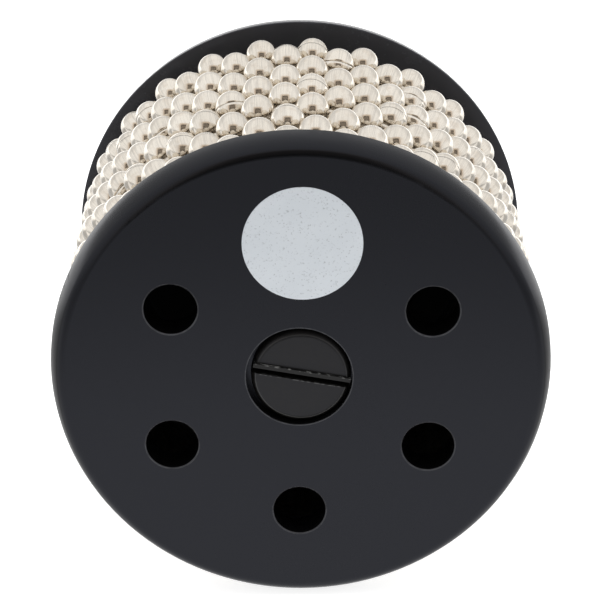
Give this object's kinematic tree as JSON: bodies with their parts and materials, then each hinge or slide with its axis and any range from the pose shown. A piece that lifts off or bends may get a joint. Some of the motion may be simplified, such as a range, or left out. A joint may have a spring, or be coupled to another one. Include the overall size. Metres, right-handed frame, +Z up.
{
  "type": "cabasa",
  "caption": "Hand-held cabasa: a textured steel drum between two round black end plates, wrapped in loops of steel ball chain that turn on it, with a turned wooden handle.",
  "frame": {"origin": "on the surface that the two end plates rest on, under the middle of the whole length, so the drum's axis runs 45 mm above it", "axes": "+Y along the drum's axis from the front plate to the butt of the handle, +Z up, +X to the right of someone who looks at the front plate"},
  "size_m": [0.09, 0.175, 0.09],
  "materials": {
    "black_plastic": "satin black moulded plastic",
    "textured_steel": "embossed bright sheet steel",
    "foil": "plain speckled silver foil disc",
    "lacquered_wood": "black lacquer over turned hardwood",
    "wedge_steel": "painted black",
    "plated_beads": "nickel plated, bright",
    "plated_links": "nickel plated wire"
  },
  "bodies": {
    "body": {"front_plate": "black_plastic", "rear_plate": "black_plastic", "drum_shell": "textured_steel", "front_roundel": "foil", "handle": "lacquered_wood", "handle_wedge": "wedge_steel"},
    "bead_sleeve": {"bead_loop_01": "plated_beads", "bead_loop_02": "plated_beads", "bead_loop_03": "plated_beads", "bead_loop_04": "plated_beads", "bead_loop_05": "plated_beads", "bead_loop_06": "plated_beads", "bead_loop_07": "plated_beads", "bead_loop_08": "plated_beads", "bead_loop_09": "plated_beads", "bead_loop_10": "plated_beads", "chain_links_01": "plated_links", "chain_links_02": "plated_links", "chain_links_03": "plated_links", "chain_links_04": "plated_links", "chain_links_05": "plated_links", "chain_links_06": "plated_links", "chain_links_07": "plated_links", "chain_links_08": "plated_links", "chain_links_09": "plated_links", "chain_links_10": "plated_links"}
  },
  "joints": [
    {"name": "bead_sleeve_turn", "type": "hinge", "parent": "body", "child": "bead_sleeve", "pos_m": [0, -0.05, 0.045], "axis": [0, 1, 0], "continuous": true}
  ]
}
